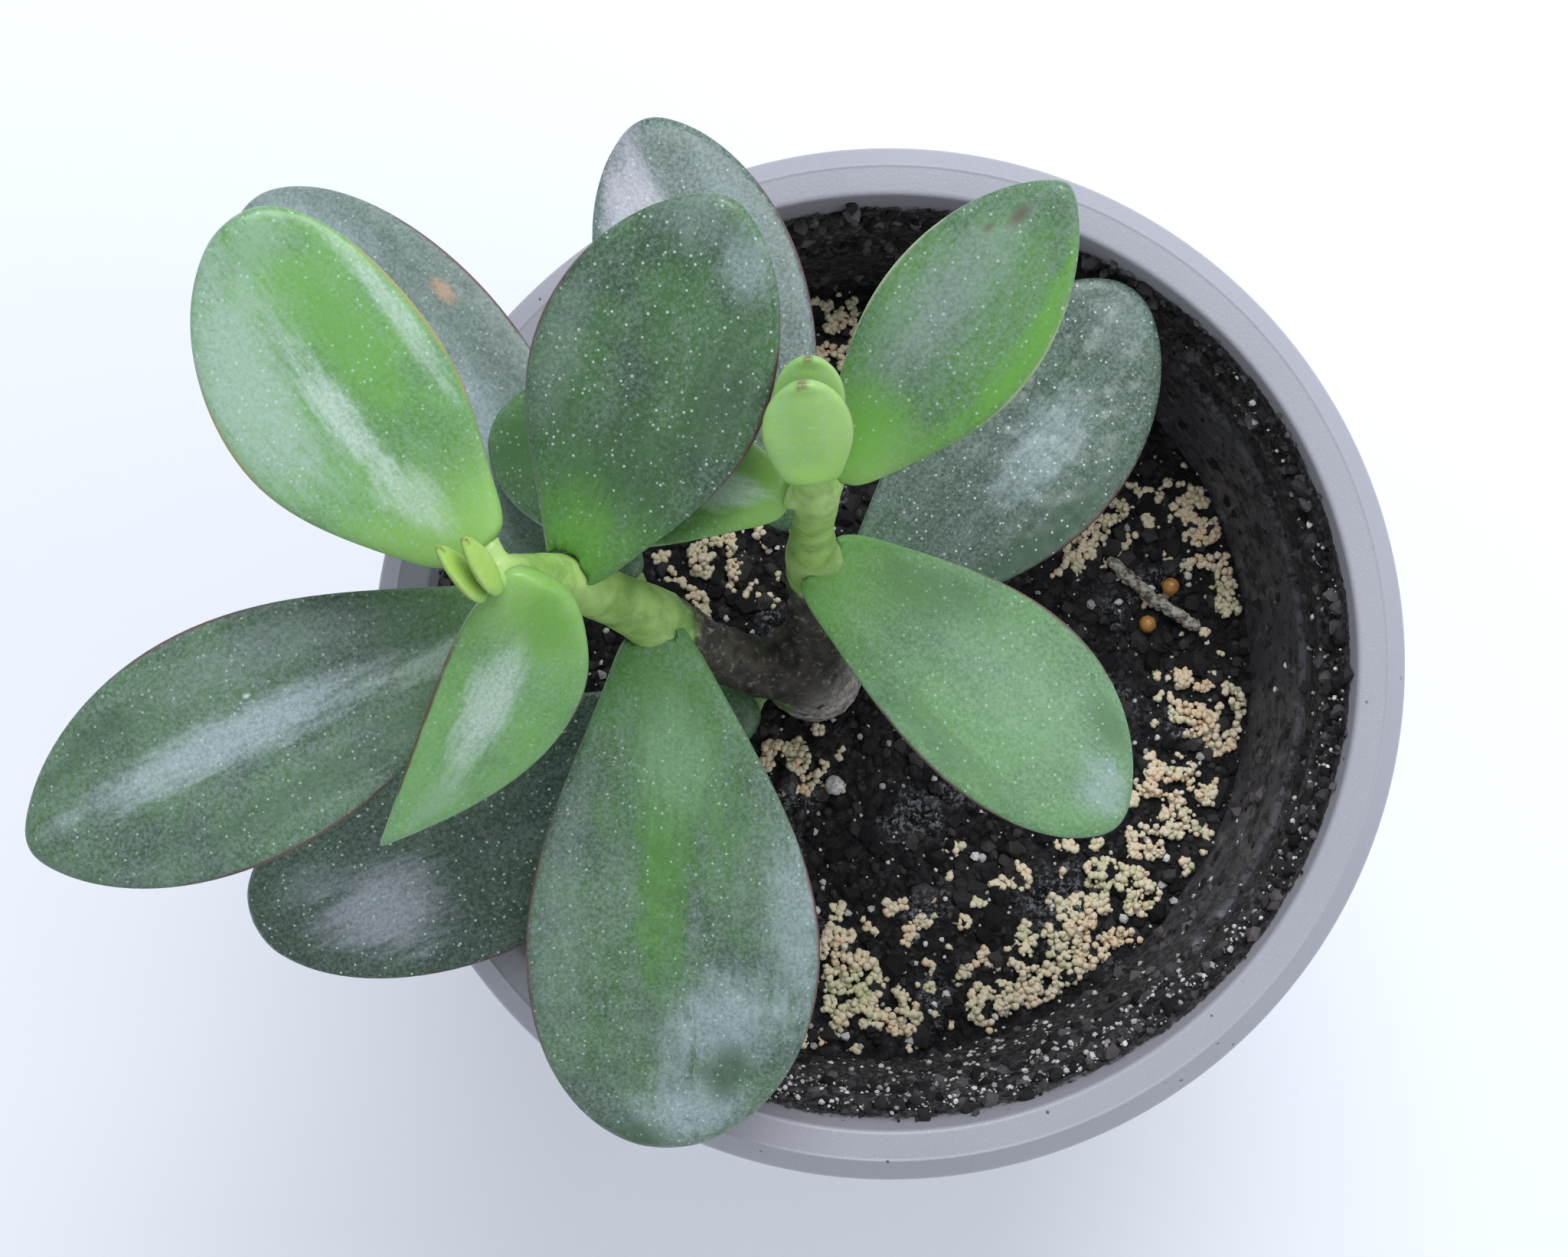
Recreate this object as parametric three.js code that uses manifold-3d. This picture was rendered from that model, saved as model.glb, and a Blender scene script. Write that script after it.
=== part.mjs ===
// A jade plant in a round nursery pot: two branches, fourteen leaves and a pair of buds over dark soil.
// Millimetres, +Z up, with the origin at the centre of the pot's underside.
import * as THREE from "three";
import { mergeVertices } from "three/addons/utils/BufferGeometryUtils.js";
import Module from "manifold-3d";

const wasm = await Module();
wasm.setup();
const { Manifold, Mesh: SolidMesh } = wasm;

// Driving dimensions
const GAP = 0.3; // clearance kept between pieces that touch
const POT_HEIGHT = 105;
const RIM_RADIUS = 60.5;
const RIM_OPENING_RADIUS = 54.2;
const RIM_BAND_HEIGHT = 13;
const WALL = 1.8;
const WALL_TAPER = 0.17; // how far the wall leans in for each millimetre down
const FLOOR = 2.4;
const POT_SIDES = 64;
const DRAIN_HOLES = 4;
const DRAIN_RADIUS = 4;
const DRAIN_CIRCLE = 22;
const SOIL_TOP = 77; // height of the soil at the pot's middle
const SOIL_FALL_X = 0.15; // the soil lies lower towards +X
const SOIL_FALL_Y = 0.04;
const SOIL_RINGS = 9;
const SOIL_SIDES = 48;

// Heights in the lists below are measured from the top of the rim.
const above = ([x, y, h]) => new THREE.Vector3(x, y, POT_HEIGHT + h);

// Each run of the stem: the places it passes through, and its radius at each.
const STEM_RUNS = [
  {
    points: [[-8.5, -1, -31], [-8.5, -1, -24], [-9, -1, -10], [-9.5, -1, 0], [-9.8, -0.8, 5]],
    radii: [6, 5.8, 5.5, 5.5, 5.2],
  },
  {
    points: [[-9.8, -0.8, 5], [-15, -1.2, 11], [-21, 0.8, 18], [-26.5, 4, 25], [-30, 5.5, 31], [-34, 7, 39]],
    radii: [4.6, 3.2, 3, 3.3, 2.8, 2.9],
  },
  {
    points: [[-34, 7, 39], [-37, 7.2, 45], [-40, 7, 51]],
    radii: [2.9, 2.3, 2],
  },
  {
    points: [[-9.8, -0.8, 5], [-9.3, 3, 12], [-9.2, 7, 20], [-9.4, 10.5, 28]],
    radii: [4.6, 2.8, 2.5, 2.8],
  },
  {
    points: [[-9.4, 10.5, 28], [-9.3, 13, 37], [-9, 15.3, 46], [-9.5, 16.5, 50]],
    radii: [2.7, 2.1, 2.3, 1.8],
  },
];

// Each leaf: where it starts and ends, its greatest width and thickness, and where along it that is.
// arch lifts its middle, sweep moves it to the left of its heading (both shares of the length),
// hook moves its tip to the left (mm),
// roll turns it about its length in degrees, cup raises its margins (a share of the half width), neck is the
// width of its base against its greatest width, and a larger point makes its tip sharper.
const LEAVES = [
  { name: "leaf_base_left", base: [-15, -4.5, 4], tip: [-72.5, -30, 8], width: 28, roll: -4, sweep: 0.02 },
  {
    name: "leaf_base_right", base: [-6, 4, 3], tip: [29.6, 43.6, -4],
    width: 26, roll: 6, sweep: -0.03, point: 0.55,
  },
  {
    name: "leaf_a_front", base: [-26, 3.5, 26], tip: [-25.2, -55, 10],
    width: 33, thick: 5, arch: 0.05, sweep: 0.02, widest: 0.6,
  },
  {
    name: "leaf_a_back", base: [-28, 7.5, 25], tip: [-72.5, 51, 13],
    width: 26, arch: 0.04, sweep: 0.02, point: 0.55,
  },
  {
    name: "leaf_b_left", base: [-37, 5, 38], tip: [-91.5, -20, 33],
    width: 26, arch: 0.05, hook: 0.6, point: 0.66,
  },
  {
    name: "leaf_b_right", base: [-34, 6.8, 41], tip: [-20, 44.8, 55],
    width: 25.5, roll: -6, sweep: -0.02, hook: -2.5, widest: 0.54, point: 0.62,
  },
  {
    name: "leaf_c_back", base: [-42, 9, 52], tip: [-65.2, 40.8, 60],
    width: 23.5, sweep: 0.055, widest: 0.5, neck: 0.35,
  },
  {
    name: "leaf_c_front", base: [-35.8, 7.2, 52.5], tip: [-53.5, -20, 40],
    width: 15.5, roll: -30, sweep: 0.1, widest: 0.3, neck: 0.5, point: 1.05,
  },
  {
    name: "leaf_d_right", base: [-9, 10.2, 29], tip: [25.5, -17.3, 19],
    width: 22, sweep: 0.02, hook: -1.5, neck: 0.4, point: 0.62,
  },
  { name: "leaf_d_back", base: [-11, 13, 28], tip: [-28.4, 58.8, 20], width: 22.5, hook: -0.5, point: 0.6 },
  {
    name: "leaf_e_right", base: [-7.5, 17, 46], tip: [14, 45.4, 58],
    width: 18, sweep: -0.03, hook: -1.5, widest: 0.52, neck: 0.3, point: 0.72,
  },
  { name: "leaf_e_left", base: [-11.5, 15, 45], tip: [-43.5, 23.5, 28], width: 19, neck: 0.28 },
  {
    name: "leaf_top_front", base: [-9.5, 16, 51.5], tip: [-10.5, 25.4, 57.5],
    width: 9.2, thick: 2.6, neck: 0.6, widest: 0.52,
  },
  {
    name: "leaf_top_back", base: [-9.8, 20, 49.5], tip: [-9.9, 28.2, 54.5],
    width: 7.4, thick: 2, neck: 0.6, widest: 0.5,
  },
  {
    name: "bud_left", base: [-41.4, 4.5, 54.5], tip: [-45.2, 9.1, 61],
    width: 3.4, thick: 1.5, roll: 50, neck: 0.5, widest: 0.4, point: 0.7,
  },
  {
    name: "bud_right", base: [-39.9, 5.2, 54.5], tip: [-42.7, 9.9, 61.5],
    width: 3.4, thick: 1.5, roll: 50, neck: 0.5, widest: 0.4, point: 0.7,
  },
];
const LEAF_DEFAULTS = {
  widest: 0.58,
  thick: 4.4,
  arch: 0,
  sweep: 0,
  hook: 0,
  roll: 0,
  cup: 0.08,
  neck: 0.22,
  point: 0.5,
};
const HEEL = 0.05; // share of the length over which a leaf's base rounds off
const SWELL = 1.3; // how slowly a leaf widens from its neck
const FULLNESS = 0.4; // how much of its thickness a leaf keeps where it narrows: 0 keeps all
const LEAF_SIDES = 20;
const LEAF_RINGS = 13;

// Loose things on the soil, by place and radius
const PRILLS = [
  { name: "fertiliser_prill_1", x: 37, y: 10.2, radius: 1.1 },
  { name: "fertiliser_prill_2", x: 34, y: 5.4, radius: 1.1 },
];
const PERLITE = { name: "perlite_ball", x: -6, y: -15, radius: 1.2 };
const TWIG = { points: [[29.6, 13.2], [34.5, 8.7], [40, 5.2]], radius: 0.8, lift: 0.9 };

// Clumps of pale mineral crust on the soil: the places each one runs through, as x, y and radius
const CRUSTS = [
  { name: "crust_back", places: [[-5, 44.8, 2.9], [-6.5, 39.5, 2.4]] },
  {
    name: "crust_right_back",
    places: [[37.5, 22, 2.1], [40, 21, 2.3], [43.2, 13.5, 2.1], [44.8, 8, 1.8]],
  },
  { name: "crust_by_twig", places: [[30.5, 19.5, 2.1], [27.3, 18, 2.4], [24.5, 13.5, 2]] },
  { name: "crust_right", places: [[38.5, -2, 2], [38.8, -6.5, 2.2], [44, -9, 2], [44.5, -3.5, 1.9]] },
  {
    name: "crust_side",
    places: [[34.5, -14.5, 2.3], [41, -15.5, 2.2], [38, -20, 2.6], [33.5, -22.5, 2.6]],
  },
  {
    name: "crust_front_right",
    places: [[27.5, -26.5, 2.4], [32.5, -28.5, 3], [26, -34, 4], [19, -39, 3.8], [12.5, -42.5, 2.6]],
  },
  {
    name: "crust_front",
    places: [[-6.5, -33.5, 2.3], [-4, -39, 3.6], [-5.5, -43, 2.6], [1, -41.5, 3.8], [3, -44.3, 1.8]],
  },
  { name: "crust_stem", places: [[-13.5, -11.5, 2.1], [-9, -12.5, 2.1]] },
  { name: "crust_fork", places: [[-24.5, 11.5, 2.3], [-20, 14.5, 2.2], [-17, 8.5, 2.2]] },
];
const CRUST_RISE = 1.4;

const material = (color, roughness) => new THREE.MeshStandardMaterial({ color, roughness, metalness: 0 });
const POT_PLASTIC = material(0xc9cac8, 0.42);
const SOIL_EARTH = material(0x1d1712, 0.95);
const BARK = material(0x6b5a44, 0.8);
const OLD_LEAF = material(0x2f4a36, 0.38);
const YOUNG_LEAF = material(0x6f9a34, 0.32);
const PRILL_COAT = material(0xb5691e, 0.4);
const PERLITE_WHITE = material(0xe8e6e0, 0.9);
const TWIG_BARK = material(0x7a6a52, 0.9);
const CRUST_PALE = material(0xc9b896, 0.9);

function solidFrom(geometry) {
  geometry.deleteAttribute("normal");
  geometry.deleteAttribute("uv");
  const merged = mergeVertices(geometry, 1e-4);
  const vertProperties = merged.attributes.position.array;
  const triVerts = new Uint32Array(merged.index.array);
  return new Manifold(new SolidMesh({ numProp: 3, vertProperties, triVerts }));
}

function meshFrom(solid, name, surface) {
  const { vertProperties, triVerts } = solid.getMesh();
  const geometry = new THREE.BufferGeometry();
  geometry.setAttribute("position", new THREE.BufferAttribute(vertProperties, 3));
  geometry.setIndex(new THREE.BufferAttribute(triVerts, 1));
  geometry.computeVertexNormals();
  const mesh = new THREE.Mesh(geometry, surface);
  mesh.name = name;
  return mesh;
}

// The hull of each solid with the next, all joined
const joined = (solids) => Manifold.union(solids.slice(1).map((next, i) => Manifold.hull([solids[i], next])));
const largestBody = (solid) => solid.decompose().sort((a, b) => b.volume() - a.volume())[0];

// Pot
const innerRadius = (z) => RIM_OPENING_RADIUS - WALL_TAPER * (POT_HEIGHT - z);

function potSolid() {
  const bandFoot = POT_HEIGHT - RIM_BAND_HEIGHT;
  const baseRadius = innerRadius(0) + WALL;
  const profile = [
    [0, 0],
    [baseRadius - 1.5, 0],
    [baseRadius, 1.5],
    [innerRadius(bandFoot) + WALL, bandFoot],
    [RIM_RADIUS - 1.2, bandFoot],
    [RIM_RADIUS - 0.4, bandFoot + 0.8],
    [RIM_RADIUS, POT_HEIGHT - 2.2],
    [RIM_RADIUS - 0.5, POT_HEIGHT - 0.8],
    [RIM_RADIUS - 1.7, POT_HEIGHT],
    [RIM_OPENING_RADIUS + 0.7, POT_HEIGHT],
    [RIM_OPENING_RADIUS, POT_HEIGHT - 0.7],
    [innerRadius(FLOOR), FLOOR],
    [0, FLOOR],
  ].map(([r, z]) => new THREE.Vector2(r, z));
  const shell = solidFrom(new THREE.LatheGeometry(profile, POT_SIDES).rotateX(Math.PI / 2));
  const drains = Array.from({ length: DRAIN_HOLES }, (_, i) => {
    const turn = ((i + 0.5) * 2 * Math.PI) / DRAIN_HOLES;
    const at = [DRAIN_CIRCLE * Math.cos(turn), DRAIN_CIRCLE * Math.sin(turn), -1];
    return Manifold.cylinder(FLOOR + 2, DRAIN_RADIUS, DRAIN_RADIUS, 24).translate(at);
  });
  return shell.subtract(Manifold.union(drains));
}

// Soil: a plug that fills the pot, with an uneven top that lies lower towards +X
function soilHeight(x, y) {
  const ripples = 0.7 * Math.sin(0.31 * x + 0.8) * Math.cos(0.27 * y) + 0.4 * Math.sin(0.63 * y - 0.35 * x);
  return SOIL_TOP - SOIL_FALL_X * x - SOIL_FALL_Y * y + ripples;
}

function soilSolid() {
  const topRadius = innerRadius(SOIL_TOP);
  const rings = Array.from({ length: SOIL_RINGS }, (_, i) => (topRadius * (SOIL_RINGS - i)) / SOIL_RINGS);
  const floorZ = FLOOR + GAP;
  const foot = [[0, floorZ], [innerRadius(floorZ) - GAP, floorZ]];
  const profile = [...foot, ...rings.map((r) => [r, SOIL_TOP]), [0, SOIL_TOP]];
  const plug = new THREE.LatheGeometry(profile.map(([r, z]) => new THREE.Vector2(r, z)), SOIL_SIDES);
  plug.rotateX(Math.PI / 2);
  const place = plug.attributes.position;
  for (let i = 0; i < place.count; i++) {
    if (place.getZ(i) < SOIL_TOP - 1) continue;
    const z = soilHeight(place.getX(i), place.getY(i));
    const edge = (innerRadius(z) - GAP) / topRadius;
    place.setXYZ(i, place.getX(i) * edge, place.getY(i) * edge, z);
  }
  return solidFrom(plug);
}

// Stem: a chain of rounded tapering lengths along each run, all joined; extra adds to every radius
function stemSolid(extra) {
  const ball = (point, radius) => Manifold.sphere(radius + extra, 16).translate(above(point).toArray());
  const lengths = STEM_RUNS.flatMap(({ points, radii }) =>
    points.slice(1).map((point, i) => Manifold.hull([ball(points[i], radii[i]), ball(point, radii[i + 1])])),
  );
  return Manifold.union(lengths);
}

// Leaf: a sphere drawn out from base to tip, then given a leaf's outline, thickness and bend
function halfWidth(t, { widest, neck, point }) {
  if (t < widest) {
    const heel = Math.min(1, 0.5 + t / HEEL);
    return heel * (neck + (1 - neck) * Math.sin((Math.PI / 2) * (t / widest)) ** SWELL);
  }
  const beyond = (t - widest) / (1 - widest);
  return Math.max(0, 1 - beyond * beyond) ** point;
}

function leafSolid(spec) {
  const leaf = { ...LEAF_DEFAULTS, ...spec };
  const base = above(leaf.base);
  const along = above(leaf.tip).sub(base);
  const length = along.length();
  const ahead = along.clone().normalize();
  const roll = THREE.MathUtils.degToRad(leaf.roll);
  const side = new THREE.Vector3(0, 0, 1).cross(ahead).normalize().applyAxisAngle(ahead, roll);
  const up = ahead.clone().cross(side);
  const ball = new THREE.SphereGeometry(1, LEAF_SIDES, LEAF_RINGS);
  const place = ball.attributes.position;
  for (let i = 0; i < place.count; i++) {
    const unit = new THREE.Vector3().fromBufferAttribute(place, i);
    const t = (1 - unit.y) / 2;
    const ring = Math.max(Math.hypot(unit.x, unit.z), 1e-6);
    const reach = ring < 1e-3 ? 0 : halfWidth(t, leaf);
    const across = (unit.x / ring) * reach;
    const depth = (unit.z / ring) * reach ** FULLNESS;
    const bow = 4 * t * (1 - t);
    const point = base.clone().addScaledVector(ahead, t * length);
    point.addScaledVector(side, (across * leaf.width) / 2 + bow * leaf.sweep * length + leaf.hook * t ** 5);
    const rise = bow * leaf.arch * length + (leaf.cup * leaf.width * across * across) / 2;
    point.addScaledVector(up, (depth * leaf.thick) / 2 + rise);
    place.setXYZ(i, point.x, point.y, point.z);
  }
  const solid = solidFrom(ball);
  return solid.volume() < 0 ? solidFrom(turnedInsideOut(ball)) : solid;
}

function turnedInsideOut(geometry) {
  const index = geometry.index.array;
  for (let i = 0; i < index.length; i += 3) [index[i + 1], index[i + 2]] = [index[i + 2], index[i + 1]];
  return geometry;
}

// Twig: a thin rounded stick lying on the soil
function twigSolid() {
  const { points, radius, lift } = TWIG;
  const balls = points.map(([x, y]) => {
    const z = soilHeight(x, y) + radius + lift;
    return Manifold.sphere(radius, 10).translate([x, y, z]);
  });
  return joined(balls);
}

// Crust: flattened lumps joined in a row, cut off just above the soil
function crustSolid({ places }, soil) {
  const lumps = places.map(([x, y, radius]) => {
    const lump = Manifold.sphere(1, 12).scale([radius, radius, CRUST_RISE]);
    return lump.translate([x, y, soilHeight(x, y) + GAP]);
  });
  return largestBody(joined(lumps).subtract(soil.translate([0, 0, GAP])));
}

function ballOnSoil({ x, y, radius }) {
  const lift = radius + 2 * GAP;
  return Manifold.sphere(radius, 12).translate([x, y, soilHeight(x, y) + lift]);
}

const plant = new THREE.Group();
const stem = stemSolid(0);
const stemRoom = stemSolid(GAP);
const soil = largestBody(soilSolid().subtract(stemRoom));
const twig = twigSolid();

plant.add(meshFrom(potSolid(), "pot", POT_PLASTIC));
plant.add(meshFrom(soil, "soil", SOIL_EARTH));
plant.add(meshFrom(stem, "stem", BARK));
for (const leaf of LEAVES) {
  const young = /_c_|_e_|top|bud/.test(leaf.name);
  const solid = largestBody(leafSolid(leaf).subtract(stemRoom));
  plant.add(meshFrom(solid, leaf.name, young ? YOUNG_LEAF : OLD_LEAF));
}
for (const prill of PRILLS) plant.add(meshFrom(ballOnSoil(prill), prill.name, PRILL_COAT));
plant.add(meshFrom(ballOnSoil(PERLITE), PERLITE.name, PERLITE_WHITE));
plant.add(meshFrom(twig, "twig", TWIG_BARK));
for (const crust of CRUSTS) plant.add(meshFrom(crustSolid(crust, soil), crust.name, CRUST_PALE));

export default plant;
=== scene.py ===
"""A jade plant in a grey nursery pot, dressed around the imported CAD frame. Metres, +Z up."""
import math
import random

import bmesh
import bpy
import numpy as np
from mathutils import Matrix, Vector, noise
from mathutils.bvhtree import BVHTree


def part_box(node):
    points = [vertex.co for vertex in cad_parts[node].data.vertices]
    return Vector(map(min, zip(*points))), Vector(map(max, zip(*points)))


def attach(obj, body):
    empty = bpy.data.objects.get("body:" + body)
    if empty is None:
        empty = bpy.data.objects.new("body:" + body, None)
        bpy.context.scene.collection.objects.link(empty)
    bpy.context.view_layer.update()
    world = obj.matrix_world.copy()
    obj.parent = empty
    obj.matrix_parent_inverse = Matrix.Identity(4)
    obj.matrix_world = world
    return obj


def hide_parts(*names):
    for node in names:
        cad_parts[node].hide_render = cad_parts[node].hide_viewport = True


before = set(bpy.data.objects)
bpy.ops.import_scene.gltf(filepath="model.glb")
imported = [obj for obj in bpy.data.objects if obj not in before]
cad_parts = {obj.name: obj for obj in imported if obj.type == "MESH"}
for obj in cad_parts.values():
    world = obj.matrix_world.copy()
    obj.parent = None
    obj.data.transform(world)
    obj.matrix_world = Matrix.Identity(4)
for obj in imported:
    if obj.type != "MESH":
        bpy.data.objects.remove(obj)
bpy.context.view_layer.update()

MM = 0.001
ROOT = "root"
RIM_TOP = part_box("pot")[1].z
RIM_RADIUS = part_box("pot")[1].x
SOIL_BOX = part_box("soil")
LEAVES = sorted(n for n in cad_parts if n.startswith(("leaf_", "bud_")))
WELD = 0.01 * MM  # points closer than this are taken as one
DOWN = Vector((0, 0, -1))
chance = random.Random(7)


# ---------------------------------------------------------------- node material helpers

class Graph:
    """A material's node tree, with short calls for the nodes used here."""

    def __init__(self, name):
        self.material = bpy.data.materials.new(name)
        self.material.use_nodes = True
        self.tree = self.material.node_tree
        self.shader = self.tree.nodes["Principled BSDF"]
        self.object_place = self.add("ShaderNodeTexCoord").outputs["Object"]

    def add(self, kind, **settings):
        node = self.tree.nodes.new(kind)
        for key, value in settings.items():
            setattr(node, key, value)
        return node

    def plug(self, socket, value):
        if isinstance(value, bpy.types.NodeSocket):
            self.tree.links.new(value, socket)
        elif isinstance(value, (tuple, list)) and socket.type == "RGBA":
            socket.default_value = (*value[:3], 1.0)
        else:
            socket.default_value = value

    def math(self, operation, a, b=0.0):
        node = self.add("ShaderNodeMath", operation=operation)
        for socket, value in zip(node.inputs, (a, b)):
            self.plug(socket, value)
        return node.outputs[0]

    def hypotenuse(self, a, b):
        squares = self.math("ADD", self.math("MULTIPLY", a, a), self.math("MULTIPLY", b, b))
        return self.math("SQRT", squares)

    def span(self, value, low, high, out_low=0.0, out_high=1.0):
        """value from low to high becomes out_low to out_high, smoothly and clamped."""
        node = self.add("ShaderNodeMapRange", interpolation_type="SMOOTHSTEP")
        for socket, setting in zip(node.inputs, (value, low, high, out_low, out_high)):
            self.plug(socket, setting)
        return node.outputs[0]

    def mix(self, factor, a, b):
        """Colour a where the factor is 0, colour b where it is 1."""
        node = self.add("ShaderNodeMix", data_type="RGBA", clamp_factor=True)
        for socket, value in ((node.inputs[0], factor), (node.inputs[6], a), (node.inputs[7], b)):
            self.plug(socket, value)
        return node.outputs[2]

    def noise(self, size, detail=3.0, rough=0.55, stretch=None, warp=0.0):
        """Noise whose features are about size metres; stretch scales each axis first."""
        node = self.add("ShaderNodeTexNoise")
        place = self.object_place
        if stretch:
            mapping = self.add("ShaderNodeMapping")
            self.plug(mapping.inputs["Vector"], place)
            mapping.inputs["Scale"].default_value = stretch
            place = mapping.outputs[0]
        self.plug(node.inputs["Vector"], place)
        node.inputs["Scale"].default_value = 1.0 / size
        node.inputs["Detail"].default_value = detail
        node.inputs["Roughness"].default_value = rough
        node.inputs["Distortion"].default_value = warp
        return node.outputs["Fac"]

    def cells(self, size, feature="F1"):
        """Voronoi cells about size metres across: (distance in cell sizes, cell colour)."""
        node = self.add("ShaderNodeTexVoronoi", feature=feature)
        self.plug(node.inputs["Vector"], self.object_place)
        node.inputs["Scale"].default_value = 1.0 / size
        return node.outputs["Distance"], node.outputs["Color"]

    def attribute(self, name):
        return self.add("ShaderNodeAttribute", attribute_name=name).outputs["Fac"]

    def bump(self, height, depth, strength=1.0, under=None):
        node = self.add("ShaderNodeBump")
        self.plug(node.inputs["Height"], height)
        node.inputs["Distance"].default_value = depth
        node.inputs["Strength"].default_value = strength
        if under is not None:
            self.plug(node.inputs["Normal"], under)
        return node.outputs[0]

    def finish(self, colour, roughness, normal=None, **constants):
        self.plug(self.shader.inputs["Base Color"], colour)
        self.plug(self.shader.inputs["Roughness"], roughness)
        if normal is not None:
            self.plug(self.shader.inputs["Normal"], normal)
        for key, value in constants.items():
            self.shader.inputs[key.replace("_", " ")].default_value = value
        return self.material


# ---------------------------------------------------------------- mesh helpers

def place_piece(name, mesh, material, nodes=()):
    """Makes an object of the mesh, rides it on the part's body and lets it stand for CAD nodes."""
    piece = bpy.data.objects.new(name, mesh)
    bpy.context.scene.collection.objects.link(piece)
    piece.data.materials.clear()
    piece.data.materials.append(material)
    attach(piece, ROOT)
    if nodes:
        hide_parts(*nodes)
    return piece


def mesh_of(name, vertices, faces, smooth=True):
    mesh = bpy.data.meshes.new(name)
    mesh.from_pydata([tuple(v) for v in vertices], [], [tuple(f) for f in faces])
    mesh.update()
    mesh.polygons.foreach_set("use_smooth", [smooth] * len(mesh.polygons))
    return mesh


def through_modifiers(mesh, *steps):
    """The mesh after a list of (modifier type, settings) is applied to it."""
    carrier = bpy.data.objects.new("carrier", mesh)
    bpy.context.scene.collection.objects.link(carrier)
    for kind, settings in steps:
        modifier = carrier.modifiers.new(kind, kind)
        for key, value in settings.items():
            setattr(modifier, key, value)
    shown = carrier.evaluated_get(bpy.context.evaluated_depsgraph_get())
    result = bpy.data.meshes.new_from_object(shown)
    bpy.data.objects.remove(carrier)
    result.polygons.foreach_set("use_smooth", [True] * len(result.polygons))
    return result


def coordinates(mesh):
    flat = np.empty(len(mesh.vertices) * 3)
    mesh.vertices.foreach_get("co", flat)
    return flat.reshape(-1, 3)


def normals(mesh):
    flat = np.empty(len(mesh.vertices) * 3)
    mesh.vertices.foreach_get("normal", flat)
    return flat.reshape(-1, 3)


def set_coordinates(mesh, points):
    mesh.vertices.foreach_set("co", np.asarray(points, float).ravel())
    mesh.update()


def store(mesh, name, values):
    layer = mesh.attributes.new(name, "FLOAT", "POINT")
    layer.data.foreach_set("value", np.asarray(values, np.float32))


def smoothstep(low, high, value):
    t = np.clip((np.asarray(value, float) - low) / (high - low), 0.0, 1.0)
    return t * t * (3.0 - 2.0 * t)


def face_tree(mesh):
    """The mesh's faces, ready for rays to be cast at them."""
    return BVHTree.FromPolygons([v.co for v in mesh.vertices], [list(p.vertices) for p in mesh.polygons])


def ico_template(subdivisions):
    bm = bmesh.new()
    bmesh.ops.create_icosphere(bm, subdivisions=subdivisions, radius=1.0)
    vertices = np.array([v.co for v in bm.verts])
    faces = np.array([[v.index for v in f.verts] for f in bm.faces])
    bm.free()
    return vertices, faces


def grains(name, seeds, subdivisions, lumpiness, smooth):
    """One mesh of many small lumps, each turned its own way; seeds are (place, radius, flatness, tint)."""
    template, template_faces = ico_template(subdivisions)
    points, faces, tints = [], [], []
    for i, (place, radius, flatness, tint) in enumerate(seeds):
        angle = chance.uniform(0, math.tau)
        axis = Vector([chance.gauss(0, 1) for _ in range(3)])
        turn = Matrix.Rotation(angle, 3, axis)
        lump = 1.0 + lumpiness * np.array([chance.uniform(-1, 1) for _ in template])
        shape = (template * lump[:, None]) @ np.array(turn)
        shape[:, 2] *= flatness
        points.append(shape * radius + np.array(place))
        faces.append(template_faces + i * len(template))
        tints += [tint] * len(template)
    mesh = mesh_of(name, np.concatenate(points), np.concatenate(faces), smooth)
    store(mesh, "tint", tints)
    return mesh


# ---------------------------------------------------------------- leaves

DISH = 0.045  # how deep a leaf's upper face is hollowed, as a share of its width
STATIONS = 25  # places along a leaf at which its two margins are read
STATION_REACH = 0.035  # how far each station reaches to either side, as a share of the leaf's length


def longest_axes(points):
    """The points' centre and their three principal directions, longest first."""
    centre = points.mean(0)
    _, _, axes = np.linalg.svd(points - centre, full_matrices=False)
    return centre, axes


def refined_leaf(name):
    """The CAD leaf as a smooth mesh, carrying its own along, across and upper measures."""
    bm = bmesh.new()
    bm.from_mesh(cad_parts[name].data)
    bmesh.ops.remove_doubles(bm, verts=bm.verts, dist=WELD)
    bmesh.ops.join_triangles(bm, faces=bm.faces, angle_face_threshold=0.9, angle_shape_threshold=2.2)
    cage = bpy.data.meshes.new(name + "_cage")
    bm.to_mesh(cage)
    bm.free()
    mesh = through_modifiers(cage, ("SUBSURF", {"levels": 2, "render_levels": 2}))
    measure_leaf(mesh)
    dish_leaf(mesh)
    mesh.name = name
    return mesh


def dish_leaf(mesh):
    """Hollows the leaf's upper face a little between its margins."""
    count = len(mesh.vertices)
    upper, across, along = np.empty(count), np.empty(count), np.empty(count)
    for name, values in (("upper", upper), ("across", across), ("along", along)):
        mesh.attributes[name].data.foreach_get("value", values)
    points = coordinates(mesh)
    _, (_, wide_axis, flat_axis) = longest_axes(points)
    flat_axis = flat_axis * math.copysign(1.0, flat_axis[2])
    width = np.ptp(points @ wide_axis)
    hollow = DISH * width * smoothstep(0.1, 0.7, upper) * (1 - across ** 2)
    hollow *= smoothstep(0.0, 0.25, along) * smoothstep(1.0, 0.85, along)
    set_coordinates(mesh, points - flat_axis * hollow[:, None])


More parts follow.
